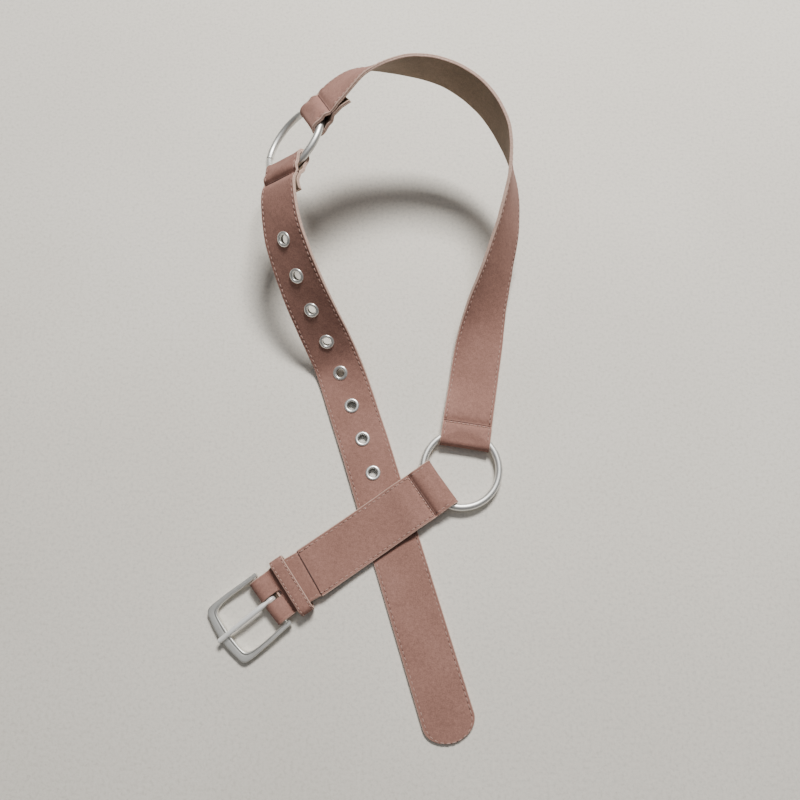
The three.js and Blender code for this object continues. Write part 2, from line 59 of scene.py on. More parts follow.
# Seams: the groove along the edges, and the face drawn down at the cross seams
STITCH_INSET = 2.1
STITCH_PITCH = 3.9
STITCH_LENGTH = 2.7
THREAD_RADIUS = 0.34
THREAD_ARCH = 0.16
THREAD_HEIGHT = TOP - 0.18
GROOVE_DEPTH = 0.22
GROOVE_SPREAD = 0.55
CROSS_STITCHES = 11
CROSS_INSET = 1.6
CROSS_LENGTH = 0.68
CROSS_START = 0.15
SEAM_DEPTH = 1.1
SEAM_SPREAD = 2.6
FOLD_SEAM_SPREAD = 1.5
LIGHT_ROW_IN_FOLD = 2.0
LIGHT_ROW_ON_STRAP = 1.4
CREASE_SHADE_LINE_RADIUS = 0.5
KNOT_RADIUS = 0.7
HOLE_RADIUS = 0.36
HOLE_PAST_END = 0.42

# Rings and the folds round them
RING_RADIUS = 26.5
WIRE_RADIUS = 2.5
WIRE_SLACK = 0.3
WIRE_SPLIT_DEG = 0.9
FOLD_FROM_RING = 18.9
SEAM_FROM_RING = 33.0
RING_FOLD_STRAIGHT = 8.6
RING_TAIL = 13.0
UPPER_TAIL_LIFT = 2.5
SEAM_LEAD = 7.0
RELIEF_DEPTH = 1.25
RELIEF_SPREAD = 4.6
RELIEF_FADE = 5.0
RELIEF_FADE_LEAD = 2.0
LOWER_RING = (0.0, 0.0, 5.2)
LOWER_LONG_STRAP_DEG = 81.0
LOWER_BUCKLE_STRAP_DEG = 214.4
UPPER_RING = (-116.0, 220.2, 64.0)
UPPER_LEAN_DEG = 43.1
UPPER_LEAN_TOWARDS_DEG = 161.6
UPPER_TIP_STRAP_DEG = 9.3
UPPER_LONG_STRAP_DEG = 140.0
UPPER_SPLIT_DEG = 291.0

# Centre lines: x, y, z and the roll about the travel
LONG_ROUTE = [
    (10.2, 61.8, 3.1, -1), (12.7, 77.3, 3.4, -4), (15, 90.5, 5.3, -11), (17.8, 105.3, 9.4, -24),
    (20.7, 118.8, 15.6, -36), (24.3, 131.5, 22.6, -46), (27.9, 144, 29.7, -53),
    (34.2, 170.5, 43.5, -62), (36.2, 198, 55, -74), (30.2, 226, 64.7, -87), (14, 249, 73.5, -86.5),
    (-11, 262.5, 81.2, -79), (-39.7, 264.8, 86.7, -69), (-69.5, 258, 88.5, -46),
]
TIP_ROUTE = [
    (-122.2, 155.6, 64.4, -41), (-116.3, 136, 55.5, -38), (-109.1, 118.3, 44.2, -34),
    (-101, 101.8, 31, -29), (-92.9, 86.8, 17.3, -23), (-87.4, 75.4, 8.9, -19),
    (-82, 61.1, 4.4, -10.5), (-77.3, 47.1, 3, -5), (-72.7, 33, 2.2, -2), (-68, 19, 2, 0),
]
TIP_HEADING_DEG = -72.7
# Centre heights of the flat parts: run along the strap, height
TIP_FLAT_HEIGHTS = [(24, 2), (38, 1.8), (46, 1.35), (60, 1.2), (100, 1.2), (145, 1.2), (190.5, 1.2)]
TIP_ROUND_LENGTH = 13.0

# Eyelets
EYELET_COUNT = 8
FIRST_EYELET = 43.0
EYELET_PITCH = 25.4
EYELET_BORE_RADIUS = 3.0
EYELET_TUBE_RADIUS = 3.4
EYELET_FLANGE_RADIUS = 5.35
EYELET_BACK_RADIUS = 4.5
EYELET_COLLAR_HEIGHT = 0.95
EYELET_BACK_SIT = -TOP - 0.12
EYELET_WASHER = 0.28

# Buckle
BAR_FROM_RING = 156.0
BAR_HEIGHT = 5.0
BAR_RADIUS = 1.9
BAR_SLACK = 0.4
BAR_HALF_LENGTH = 19.4
BUCKLE_HEADING_DEG = 218.7
BUCKLE_PITCH_DEG = 4.3
BUCKLE_SEAM_FROM_BAR = 8.3
BUCKLE_TAIL = 25.0
BUCKLE_SEAM_HEIGHT = 5.7
# Run from the seam at the ring, height of the centre line
BUCKLE_STRAP_HEIGHTS = [
    (6, 7.2), (14, 7.6), (27, 5.4), (40, 4.5), (53, 4.4), (66, 4.2), (79, 4.8), (91, 5.7),
]
FRAME_HALF_THICK = 2.0
SLOT_WIDTH = 4.2
SLOT_FRONT = 9.0
SLOT_BACK = 4.6
SECOND_SEAM_BACK = 22.5
NARROWING = 0.8
NARROWING_RUN = 1.6
LAYER_STEP_UP = 0.35
LAYER_STEP_DOWN = 0.6
LAYER_STEP_REACH = 6.0

# Keeper
KEEPER_FROM_RING = 139.0
KEEPER_LENGTH = 9.6
KEEPER_WALL = 1.5
KEEPER_INNER_WIDTH = 38.6
KEEPER_INNER_HEIGHT = 8.6
KEEPER_CORNER = 4.4
KEEPER_STITCH_INSET = 1.3
KEEPER_STITCH_FLOOR = 1.5

UP = np.array([0.0, 0.0, 1.0])
low, high = (np.array(corner) * 1000 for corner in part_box("ring_b"))
ORIGIN = (low + high) / 2 - np.array(LOWER_RING)


def heading(deg):
    return np.array([math.cos(math.radians(deg)), math.sin(math.radians(deg)), 0.0])


def unit(v):
    return v / np.linalg.norm(v, axis=-1, keepdims=True)


# Meshes

def tube_faces(rows, columns, closed_rows=False):
    """Quads of a grid that is closed across, and lengthwise as well where closed_rows is true."""
    faces = []
    last = rows if closed_rows else rows - 1
    for i in range(last):
        for k in range(columns):
            a = i * columns + k
            b = i * columns + (k + 1) % columns
            c = ((i + 1) % rows) * columns + (k + 1) % columns
            d = ((i + 1) % rows) * columns + k
            faces.append((a, b, c, d))
    return faces


def capped_tube(rows, columns):
    """Quads of a grid that is closed across, and last a flat face over either end."""
    last = (rows - 1) * columns
    return tube_faces(rows, columns) + [
        tuple(range(columns - 1, -1, -1)), tuple(range(last, last + columns))]


def circle(count):
    """Cosine and sine at even steps of a full turn."""
    angles = [2 * math.pi * k / count for k in range(count)]
    return [(math.cos(angle), math.sin(angle)) for angle in angles]


def make_object(name, points, faces, materials, uvs=None, slots=None, smooth=True, flat_ends=False):
    """A mesh object from points in plan millimetres; slots names each face's material."""
    mesh = bpy.data.meshes.new(name)
    placed = (np.asarray(points, float) + ORIGIN) / 1000
    mesh.from_pydata([tuple(p) for p in placed], [], [tuple(int(i) for i in f) for f in faces])
    if uvs is not None:
        layer = mesh.uv_layers.new(name="UVMap")
        corner_uvs = np.array([uvs[i] for f in faces for i in f], dtype=np.float32)
        layer.data.foreach_set("uv", corner_uvs.ravel())
    for material in materials:
        mesh.materials.append(material)
    if slots is not None:
        mesh.polygons.foreach_set("material_index", slots)
    if smooth:
        mesh.polygons.foreach_set("use_smooth", [True] * len(mesh.polygons))
    if flat_ends:
        for face in mesh.polygons[-2:]:
            face.use_smooth = False
    mesh.update()
    obj = bpy.data.objects.new(name, mesh)
    bpy.context.scene.collection.objects.link(obj)
    return obj


def cut_away(obj, cutter):
    """Take the cutter's shape out of the object, and the cutter out of the scene."""
    modifier = obj.modifiers.new("cut", "BOOLEAN")
    modifier.operation = "DIFFERENCE"
    modifier.solver = "EXACT"
    modifier.object = cutter
    depsgraph = bpy.context.evaluated_depsgraph_get()
    mesh = bpy.data.meshes.new_from_object(obj.evaluated_get(depsgraph))
    obj.modifiers.clear()
    old = obj.data
    obj.data = mesh
    bpy.data.meshes.remove(old)
    bpy.data.objects.remove(cutter)


# Centre lines

class Route:
    """A smooth line through rows of position and roll, read by its length in millimetres."""

    samples = 4000
    reach = 0.6

    def __init__(self, points, rolls):
        t = np.linspace(0, len(points) - 1, self.samples)
        self.points = catmull_rom(np.array(points, float), t, True)
        self.rolls = catmull_rom(np.array(rolls, float)[:, None], t, False)[:, 0]
        steps = np.linalg.norm(np.diff(self.points, axis=0), axis=1)
        self.lengths = np.concatenate([[0], np.cumsum(steps)])
        self.length = self.lengths[-1]

    def at(self, s):
        s = np.atleast_1d(s)
        p = np.column_stack([np.interp(s, self.lengths, self.points[:, k]) for k in range(3)])
        ahead = np.clip(s + self.reach, 0, self.length)
        behind = np.clip(s - self.reach, 0, self.length)
        travel = unit(np.column_stack([
            np.interp(ahead, self.lengths, self.points[:, k])
            - np.interp(behind, self.lengths, self.points[:, k]) for k in range(3)
        ]))
        roll = np.interp(s, self.lengths, self.rolls)[:, None]
        right = unit(np.cross(travel, UP))
        lift = np.cross(right, travel)
        width = right * np.cos(roll) + lift * np.sin(roll)
        return p, travel, width, np.cross(width, travel)


def catmull_rom(points, t, centripetal):
    """The smooth curve through the points, read at t, which counts the points."""
    ends = np.vstack([2 * points[0] - points[1], points, 2 * points[-1] - points[-2]])
    segment = np.minimum(t.astype(int), len(points) - 2)
    q = (t - segment)[:, None]
    p0, p1, p2, p3 = (ends[segment + k] for k in range(4))
    if centripetal:
        d0, d1, d2 = (
            np.sqrt(np.linalg.norm(b - a, axis=1))[:, None] for a, b in ((p0, p1), (p1, p2), (p2, p3))
        )
        start = ((p1 - p0) / d0 - (p2 - p0) / (d0 + d1) + (p2 - p1) / d1) * d1
        end = ((p2 - p1) / d1 - (p3 - p1) / (d1 + d2) + (p3 - p2) / d2) * d1
    else:
        start = (p2 - p0) / 2
        end = (p3 - p1) / 2
    return (p1 + start * q + (3 * (p2 - p1) - 2 * start - end) * q ** 2
            + (2 * (p1 - p2) + start + end) * q ** 3)


def roll_of(travel, width):
    """The turn about the travel that brings the level direction onto the strap's width."""
    right = unit(np.cross(travel, UP))
    lift = np.cross(right, travel)
    return math.atan2(float(width @ lift), float(width @ right))


def ring_axes(lean_deg, towards_deg):
    """A ring's normal, leaning towards a heading, and two axes in its plane, the first level."""
    lean = math.radians(lean_deg)
    normal = heading(towards_deg) * math.sin(lean) + UP * math.cos(lean)
    x = unit(np.cross(UP, heading(towards_deg)))
    return normal, x, np.cross(normal, x)


def ring_fold(centre, axes, deg, tail_lift):
    """A strap's folded end round a ring, at an angle in the ring's plane."""
    normal, x, y = axes
    to_strap = x * math.cos(math.radians(deg)) + y * math.sin(math.radians(deg))
    return {
        "centre": np.array(centre) + to_strap * FOLD_FROM_RING,
        "to_strap": to_strap,
        "normal": normal,
        "width": np.cross(to_strap, normal),
        "radius": WIRE_RADIUS + WIRE_SLACK + TOP,
        "straight": RING_FOLD_STRAIGHT,
        "seam": SEAM_FROM_RING - FOLD_FROM_RING,
        "front": LAYER_PITCH / 2,
        "tail": RING_TAIL,
        "tail_lift": tail_lift,
        "round_ring": True,
    }


def seam_point(fold, past=0.0):
    """Where the centre line passes the fold's seam, or further out along the strap."""
    return fold["centre"] + fold["to_strap"] * (fold["seam"] + past) + fold["normal"] * fold["front"]


def leaving_rows(fold):
    roll = roll_of(fold["to_strap"], fold["width"])
    return [(seam_point(fold, past), roll) for past in (0.0, SEAM_LEAD)]


def arriving_rows(fold):
    roll = roll_of(-fold["to_strap"], -fold["width"])
    return [(seam_point(fold, past), roll) for past in (SEAM_LEAD, 0.0)]


def table_rows(table):
    return [(np.array(row[:3], float), math.radians(row[3])) for row in table]


def make_route(rows):
    return Route([row[0] for row in rows], [row[1] for row in rows])


# Straps

def smooth_step(q):
    return q * q * (3 - 2 * q)


def fold_path(fold):
    """Points (a, b) of a fold's side view, from the front seam round the wire to the back seam."""
    radius, straight, seam, front = (fold[k] for k in ("radius", "straight", "seam", "front"))
    back = front - LAYER_PITCH
    path = []
    ramp = max(3, int(round((seam - straight) / STATION_STEP)))
    for i in range(1, ramp + 1):
        q = i / ramp
        path.append((seam + (straight - seam) * q, front + (radius - front) * smooth_step(q)))
    flat = max(1, int(round(straight / STATION_STEP)))
    for i in range(1, flat):
        path.append((straight * (1 - i / flat), radius))
    turns = 18
    for i in range(turns + 1):
        angle = math.radians(90 + 180 * i / turns)
        path.append((radius * math.cos(angle), radius * math.sin(angle)))
    for i in range(1, flat):
        path.append((straight * i / flat, -radius))
    for i in range(ramp + 1):
        q = 1 - i / ramp
        path.append((seam + (straight - seam) * q, back + (-radius - back) * smooth_step(q)))
    return path


class Strap:
    """Rows along a strap, from one tail's end to the other: place, width, normal and what is there."""

    def __init__(self, ring_ends):
        self.p, self.w, self.n, self.along, self.half = [], [], [], [], []
        self.kind, self.a, self.end = [], [], []
        self.ring_ends = ring_ends

    def add(self, p, w, n, along, kind, a, end, half):
        for store, value in zip(
            (self.p, self.w, self.n, self.along, self.kind, self.a, self.end, self.half),
            (p, w, n, along, kind, a, end, half),
        ):
            store.append(value)


def fold_rows(fold, route, from_start, half_at):
    """Rows of one folded end, from the front seam outwards, in the strap's own travel sense."""
    path = fold_path(fold)
    centre, to_strap, normal = fold["centre"], fold["to_strap"], fold["normal"]
    width = fold["width"] if from_start else -fold["width"]
    rows = []
    along = 0.0
    before = (fold["seam"], fold["front"])
    for i, (a, b) in enumerate(path):
        along += math.hypot(a - before[0], b - before[1])
        after = path[min(i + 1, len(path) - 1)]
        run = np.array([after[0] - before[0], after[1] - before[1]])
        run /= np.linalg.norm(run)
        out = normal * (-run[0]) + to_strap * run[1]
        rows.append((centre + to_strap * a + normal * b, width, out, along, "fold", a, half_at(-along)))
        before = (a, b)
    seam_at = along
    count = int(round(fold["tail"] / STATION_STEP))
    for i in range(1, count + 1):
        reach = fold["tail"] * i / count
        s = reach if from_start else route.length - reach
        p, _, w, n = (v[0] for v in route.at(s))
        drop = LAYER_PITCH + fold["tail_lift"] * (reach / fold["tail"]) ** 2
        rows.append((p - n * drop, w, -n, seam_at + reach, "tail", reach, half_at(reach)))
    return rows


def plain_half(_):
    """Half the width of a strap that is as wide all along."""
    return HALF_WIDTH


def build_strap(route, start_fold, end_fold, half_at=plain_half, tip_heading=None):
    """half_at gives half the width by the length from the end fold's seam, below 0 in the fold."""
    strap = Strap([
        end for end, fold in ((-1, start_fold), (1, end_fold)) if fold and fold["round_ring"]
    ])
    for p, w, n, along, kind, a, half in reversed(fold_rows(start_fold, route, True, plain_half)):
        strap.add(p, w, n, -along, kind, a, -1, half)
    count = int(round(route.length / STATION_STEP))
    s = np.linspace(0, route.length, count + 1)
    for p, _, w, n, x in zip(*route.at(s), s):
        strap.add(p, w, n, x, "run", 0.0, 0, half_at(route.length - x))
    if end_fold:
        for p, w, n, along, kind, a, half in fold_rows(end_fold, route, False, half_at):
            strap.add(p, w, n, route.length + along, kind, a, 1, half)
    if tip_heading is not None:
        last = strap.p[-1]
        steps = 26
        for i in range(1, steps + 1):
            angle = math.pi / 2 * i / (steps + 0.35)
            reach = TIP_ROUND_LENGTH * math.sin(angle)
            strap.add(last + tip_heading * reach, strap.w[-1], strap.n[-1],
                      route.length + reach, "tip", 0.0, 0, HALF_WIDTH * math.cos(angle))
    return strap


def ring_relief(strap, i, v):
    """How far a fold sinks where the ring's wire isn't under it."""
    if strap.kind[i] != "fold" or strap.end[i] not in strap.ring_ends:
        return 0.0 * v
    a = strap.a[i]
    wire = np.sqrt(RING_RADIUS ** 2 - v ** 2) - FOLD_FROM_RING
    near_seam = min(1.0, max(0.0, (a - RING_FOLD_STRAIGHT + RELIEF_FADE_LEAD) / RELIEF_FADE))
    fade = 1 - smooth_step(near_seam)
    return -RELIEF_DEPTH * fade * (1 - np.exp(-((a - wire) / RELIEF_SPREAD) ** 2))


def soft_waves(along, v, seed):
    """A slow unevenness of soft leather, in millimetres."""
    return (0.10 * np.sin(along / 17.0 + seed) * np.cos(v / 9.0 + seed)
            + 0.06 * np.sin(along / 6.3 + 2.1 * seed + v / 5.0)
            + 0.03 * np.sin(along / 2.7 + v / 1.9 + seed))


FACE, EDGE, LINING = 0, 1, 2


def cut_edge(side):
    """The rounded edge from the face to the lining, with a dent where the two layers meet."""
    down = [(0.12, TOP - 0.14), (0.0, TOP - 0.5), (0.0, 0.12), (0.14, 0.0)]
    up = [(inset, -height) for inset, height in reversed(down[:-1])]
    return [(side, inset, height, EDGE) for inset, height in down + up]


def strap_section():
    """Points of the section: part of the half width, distance in from the edge, height and zone."""
    top_insets = [0.45, 0.9, 1.35, 1.75, 2.1, 2.45, 2.9, 3.5, 4.5, 6.0, 7.6, 9.3, 11.1, 13.0, 15.2]
    low_insets = [0.45, 1.4, 2.1, 2.8, 5.0, 8.0, 11.5, 15.0]
    section = [(-1, inset, TOP, FACE) for inset in top_insets]
    section += [(1, inset, TOP, FACE) for inset in reversed(top_insets)]
    section += cut_edge(1)
    section += [(1, inset, -TOP, LINING) for inset in low_insets]
    section += [(-1, inset, -TOP, LINING) for inset in reversed(low_insets)]
    section += reversed(cut_edge(-1))
    return section


def face_slots(faces, zones):
    """The material of each quad of a tube, by the zones of its section's points."""
    slots = []
    for face in faces:
        a, b = zones[face[0] % len(zones)], zones[face[1] % len(zones)]
        slots.append(a if a == b else EDGE)
    return slots


def seam_press(strap, i, seams):
    """How deep the face is drawn down beside its cross seams, more steeply on a fold's side."""
    spread = FOLD_SEAM_SPREAD if strap.kind[i] == "fold" else SEAM_SPREAD
    return sum(SEAM_DEPTH * math.exp(-((strap.along[i] - at) / spread) ** 2) for at in seams)


def strap_mesh(name, strap, seams, seed, step_at=None):
    """seams are the places of the cross seams by the strap's own length.

    From step_at on an upper layer of leather lies over the strap, which is pressed down before it.
    """
    section = strap_section()
    sides, insets, heights = (np.array([row[k] for row in section], float) for k in range(3))
    zones = [row[3] for row in section]
    top = np.array(zones) == FACE
    perimeter = np.concatenate([[0], np.cumsum(np.hypot(
        np.diff(sides * (HALF_WIDTH - insets)), np.diff(heights)))])
    points, uvs = [], []
    for i in range(len(strap.p)):
        half = strap.half[i]
        v = sides * np.maximum(half - insets * min(1.0, half / HALF_WIDTH), 0.0)
        down = 0.0 * heights
        if strap.kind[i] != "tail":
            down += np.exp(-((insets - STITCH_INSET) / GROOVE_SPREAD) ** 2) * GROOVE_DEPTH * (
                0.75 + 0.25 * math.cos(2 * math.pi * strap.along[i] / STITCH_PITCH))
            down += seam_press(strap, i, seams)
            if step_at is not None:
                past = strap.along[i] - step_at
                down += -LAYER_STEP_UP if past > 0 else LAYER_STEP_DOWN * math.exp(past / LAYER_STEP_REACH)
        h = heights - np.where(top, down, 0.0)
        lift = soft_waves(strap.along[i], v, seed) + ring_relief(strap, i, v)
        points.append(strap.p[i] + np.outer(v, strap.w[i]) + np.outer(h + lift, strap.n[i]))
        uvs.append(np.column_stack([np.full(len(v), strap.along[i]), perimeter]))
    faces = capped_tube(len(strap.p), len(section))
    placed = np.vstack(points)
    placed[:, 2] = np.maximum(placed[:, 2], FLOOR_GAP)
    slots = face_slots(faces[:-2], zones) + [EDGE, EDGE]
    return make_object(name, placed, faces, SUEDE, np.vstack(uvs) / 100, slots, flat_ends=True)


# Stitches

def thread_shape(start, end, normal, radius, arch):
    """A short bent tube between two points, thinner at its ends, as points and faces."""
    side = np.cross(unit(end - start), normal)
    sides, rows = 6, 5
    points = []
    for i in range(rows):
        q = i / (rows - 1)
        bow = math.sin(math.pi * q)
        r = radius * (0.55 + 0.45 * bow)
        centre = start + (end - start) * q + normal * (arch * bow)
        points += [centre + side * (r * c) + normal * (r * s) for c, s in circle(sides)]
    return points, capped_tube(rows, sides)


def hole_shape(centre, direction, normal, radius):
    """A small flat lens of painted shade: the needle hole's shadow at a stitch's end."""
    side = np.cross(direction, normal)
    sides = 7
    points = [centre + normal * 0.1]
    points += [centre + direction * (radius * c) + side * (radius * s) for c, s in circle(sides)]
    points.append(centre - normal * 0.25)
    faces = [(0, 1 + k, 1 + (k + 1) % sides) for k in range(sides)]
    faces += [(sides + 1, 1 + (k + 1) % sides, 1 + k) for k in range(sides)]
    return points, faces


def knot_shape(centre, radius):
    """A small ball of thread."""
    rows, sides = 5, 8
    points = []
    for i in range(1, rows):
        polar = math.pi * i / rows
        for c, s in circle(sides):
            points.append(centre + radius * np.array([
                math.sin(polar) * c, math.sin(polar) * s, math.cos(polar)]))
    return points, [tuple(reversed(face)) for face in capped_tube(rows - 1, sides)]


# Kinds of thread piece: pale thread, and near-black painted shade for needle holes, crease lines, dark
# stitches and knots.
LIGHT, PAINTED_SHADE = 0, 1


class Threads:
    """Stitches, the painted shade of their needle holes, and knots gathered into one piece."""

    def __init__(self):
        self.points, self.faces, self.kinds = [], [], []

    def add(self, shape, kind):
        points, faces = shape
        base = len(self.points)
        self.points.extend(points)
        self.faces.extend(tuple(base + i for i in f) for f in faces)
        self.kinds.extend([kind] * len(faces))

    def stitch(self, start, end, normal, radius=THREAD_RADIUS, arch=THREAD_ARCH, kind=LIGHT):
        self.add(thread_shape(start, end, normal, radius, arch), kind)
        # Painted shade of the needle hole just past the stitch's end.
        direction = unit(end - start)
        centre = end + direction * HOLE_PAST_END - normal * 0.02
        self.add(hole_shape(centre, direction, normal, HOLE_RADIUS), PAINTED_SHADE)

    def make(self, name):
        return make_object(name, np.array(self.points), self.faces, THREADS, slots=self.kinds)


def edge_line(strap, rows, side):
    """The line of an edge seam through the given rows: its points and their normals."""
    points, normals = [], []
    for i in rows:
        v = side * max(strap.half[i] - STITCH_INSET * min(1.0, strap.half[i] / HALF_WIDTH), 0.0)
        lift = THREAD_HEIGHT + float(ring_relief(strap, i, np.array([v]))[0])
        points.append(strap.p[i] + strap.w[i] * v + strap.n[i] * lift)
        normals.append(strap.n[i])
    return np.array(points), np.array(normals)


def sew_along(threads, points, normals, pitch=STITCH_PITCH, length=STITCH_LENGTH, skip=0.0):
    """Stitches at even steps along a line, from skip after its start to skip before its end."""
    steps = np.linalg.norm(np.diff(points, axis=0), axis=1)
    lengths = np.concatenate([[0], np.cumsum(steps)])

    def read(values, s):
        return np.array([np.interp(s, lengths, values[:, k]) for k in range(3)])

    s = skip
    while s + length < lengths[-1] - skip:
        threads.stitch(read(points, s), read(points, s + length), unit(read(normals, s + length / 2)))
        s += pitch


def sew_across(threads, p, w, n, half, height, dark, knots):
    """A row of stitches across the strap: light, or dark with painted shade in a crease; a knot at each
    edge if asked.
    """
    # Painted shade: a near-black line along the crease, and dark stitches, where the seam sinks into
    # shadow.
    if dark:
        reach = w * (half - 0.2)
        crease = p + n * (height - 0.2)
        threads.add(thread_shape(crease - reach, crease + reach, n, CREASE_SHADE_LINE_RADIUS, 0.0), PAINTED_SHADE)
    radius, arch, kind = (0.3, 0.12, PAINTED_SHADE) if dark else (0.42, 0.2, LIGHT)
    pitch = 2 * (half - CROSS_INSET) / CROSS_STITCHES
    for k in range(CROSS_STITCHES):
        start = p + w * (-half + CROSS_INSET + pitch * (k + CROSS_START)) + n * height
        threads.stitch(start, start + w * (pitch * CROSS_LENGTH), n, radius, arch, kind)
    if knots:
        # Knots of thread at the seam's edges, coloured near-black with the painted shade of the needle
        # holes.
        for side in (-1, 1):
            threads.add(knot_shape(p + w * (side * (half + 0.1)) + n * (height - 0.9), KNOT_RADIUS), PAINTED_SHADE)


# Materials

def grey(value):
    return (value, value, value)


class Paint:
    """A new material: a principled shader, and the procedural nodes that feed it."""

    def __init__(self, name):
        self.material = bpy.data.materials.new(name)
        self.material.use_nodes = True
        tree = self.material.node_tree
        tree.nodes.clear()
        self.new, self.link = tree.nodes.new, tree.links.new
        self.shader = self.new("ShaderNodeBsdfPrincipled")
        self.link(self.shader.outputs["BSDF"], self.new("ShaderNodeOutputMaterial").inputs["Surface"])
        self.place = self.new("ShaderNodeTexCoord").outputs["Object"]

    def feed(self, socket, value):
        self.link(value, self.shader.inputs[socket])

    def stretched(self, scale):
        """The object's coordinates, scaled by axis."""
        node = self.new("ShaderNodeMapping")
        node.inputs["Scale"].default_value = scale
        self.link(self.place, node.inputs["Vector"])
        return node.outputs["Vector"]

    def noise(self, scale, detail, roughness=0.5, vector=None):
        node = self.new("ShaderNodeTexNoise")
        node.inputs["Scale"].default_value = scale
        node.inputs["Detail"].default_value = detail
        node.inputs["Roughness"].default_value = roughness
        self.link(self.place if vector is None else vector, node.inputs["Vector"])
        return node.outputs["Fac"]

    def ramp(self, factor, stops):
        """Colours by the factor, from rows of position and colour."""
        node = self.new("ShaderNodeValToRGB")
        elements = node.color_ramp.elements
        elements[0].position, elements[0].color = stops[0][0], (*stops[0][1], 1)
        elements[1].position, elements[1].color = stops[-1][0], (*stops[-1][1], 1)
        for position, color in stops[1:-1]:
            elements.new(position).color = (*color, 1)
        self.link(factor, node.inputs["Fac"])
        return node.outputs["Color"]

    def multiply(self, a, b):
        node = self.new("ShaderNodeMix")
        node.data_type = "RGBA"
        node.blend_type = "MULTIPLY"
        node.inputs["Factor"].default_value = 1.0
        self.link(a, node.inputs["A"])
        self.link(b, node.inputs["B"])
        return node.outputs["Result"]

    def between(self, factor, low, high):
        """A value that follows the factor between low and high."""
        node = self.new("ShaderNodeMapRange")
        node.inputs["To Min"].default_value = low
        node.inputs["To Max"].default_value = high
        self.link(factor, node.inputs["Value"])
        return node.outputs["Result"]

    def bump(self, height, strength, distance, normal=None):
        node = self.new("ShaderNodeBump")
        node.inputs["Strength"].default_value = strength
        node.inputs["Distance"].default_value = distance
        self.link(height, node.inputs["Height"])
        if normal is not None:
            self.link(normal, node.inputs["Normal"])
        return node.outputs["Normal"]


def suede_material(name, dark, middle, light, sheen, tint):
    """Napped leather: clouded colour, a fine nap, and the marks of a brushed surface."""
    paint = Paint(name)
    clouds = paint.noise(30, 4)
    nap = paint.noise(1500, 3, 0.7)
    flecks = paint.noise(420, 2, 0.6)
    base = paint.ramp(clouds, [(0.25, dark), (0.5, middle), (0.75, light)])
    speckle = paint.ramp(nap, [(0.3, grey(0.74)), (0.7, grey(1.18))])
    mottle = paint.ramp(flecks, [(0.3, grey(0.88)), (0.7, grey(1.08))])
    paint.feed("Base Color", paint.multiply(paint.multiply(base, speckle), mottle))
    paint.feed("Roughness", paint.between(nap, 0.82, 0.98))
    fine = paint.bump(nap, 0.5, 0.00012)
    paint.feed("Normal", paint.bump(flecks, 0.35, 0.0003, fine))
    shader = paint.shader
    shader.inputs["Specular IOR Level"].default_value = 0.2
    shader.inputs["Sheen Weight"].default_value = sheen
    shader.inputs["Sheen Roughness"].default_value = 0.45
    shader.inputs["Sheen Tint"].default_value = (*tint, 1)
    return paint.material


def edge_material():
    """Pale raw edge of fibres."""
    paint = Paint("cut_edge")
    fibres = paint.noise(900, 4, 0.7)
    paint.feed("Base Color", paint.ramp(fibres, [
        (0.3, (0.40, 0.25, 0.20)), (0.55, (0.56, 0.38, 0.31)), (0.75, (0.68, 0.49, 0.41))]))
    paint.feed("Normal", paint.bump(fibres, 0.6, 0.0003))
    paint.shader.inputs["Roughness"].default_value = 0.85
    paint.shader.inputs["Sheen Weight"].default_value = 0.15
    return paint.material


def thread_material(name, dark, light):
    """Twisted thread, or with dark colours the shade of a needle hole."""
    paint = Paint(name)
    strands = paint.noise(2600, 2, 0.6)
    paint.feed("Base Color", paint.ramp(strands, [(0.3, dark), (0.7, light)]))
    paint.feed("Normal", paint.bump(strands, 0.5, 0.0001))
    paint.shader.inputs["Roughness"].default_value = 0.7
    return paint.material


def metal_material(name, dark, light, gloss, grain, metallic):
    """Satin plated metal: faint clouding of tone, and a fine brushed grain along one axis.

    gloss holds the lowest and the highest roughness.
    """
    paint = Paint(name)
    clouds = paint.noise(90, 3)
    scratches = paint.noise(60, 4, 0.65, paint.stretched(grain))
    paint.feed("Base Color", paint.ramp(clouds, [(0.3, dark), (0.7, light)]))
    paint.feed("Roughness", paint.between(scratches, *gloss))
    paint.feed("Normal", paint.bump(scratches, 0.12, 0.0001))
    paint.shader.inputs["Metallic"].default_value = metallic
    return paint.material


def floor_material():
    """A pale, finely gritted floor."""
    paint = Paint("pale_floor")
    fine = paint.noise(420, 4, 0.7)
    base = paint.ramp(paint.noise(5, 3), [(0.3, (0.745, 0.703, 0.632)), (0.7, (0.80, 0.76, 0.69))])
    grit = paint.ramp(fine, [(0.3, grey(0.84)), (0.5, grey(1.0)), (0.7, grey(1.06))])
    paint.feed("Base Color", paint.multiply(base, grit))
    paint.feed("Normal", paint.bump(fine, 0.25, 0.0006))
    paint.shader.inputs["Roughness"].default_value = 0.8
    return paint.material


PINK = suede_material(
    "suede_face", dark=(0.276, 0.143, 0.114), middle=(0.312, 0.163, 0.131), light=(0.348, 0.185, 0.150),
    sheen=0.1, tint=(0.95, 0.75, 0.68))
BACK = suede_material(
    "suede_lining", dark=(0.20, 0.145, 0.105), middle=(0.24, 0.175, 0.128), light=(0.28, 0.205, 0.150),
    sheen=0.1, tint=(0.8, 0.75, 0.7))
RAW = edge_material()
SUEDE = [PINK, RAW, BACK]
THREADS = [
    thread_material("thread", dark=(0.35, 0.205, 0.17), light=(0.50, 0.335, 0.285)),
    # Near-black painted shade for needle holes, crease lines, dark cross stitches and knots.
    thread_material("needle_hole_painted_shade", dark=(0.045, 0.022, 0.020), light=(0.09, 0.045, 0.038)),
]
SATIN = metal_material(
    "satin_metal", dark=(0.74, 0.735, 0.71), light=(0.84, 0.835, 0.81),
    gloss=(0.37, 0.48), grain=(1, 9, 9), metallic=0.9)
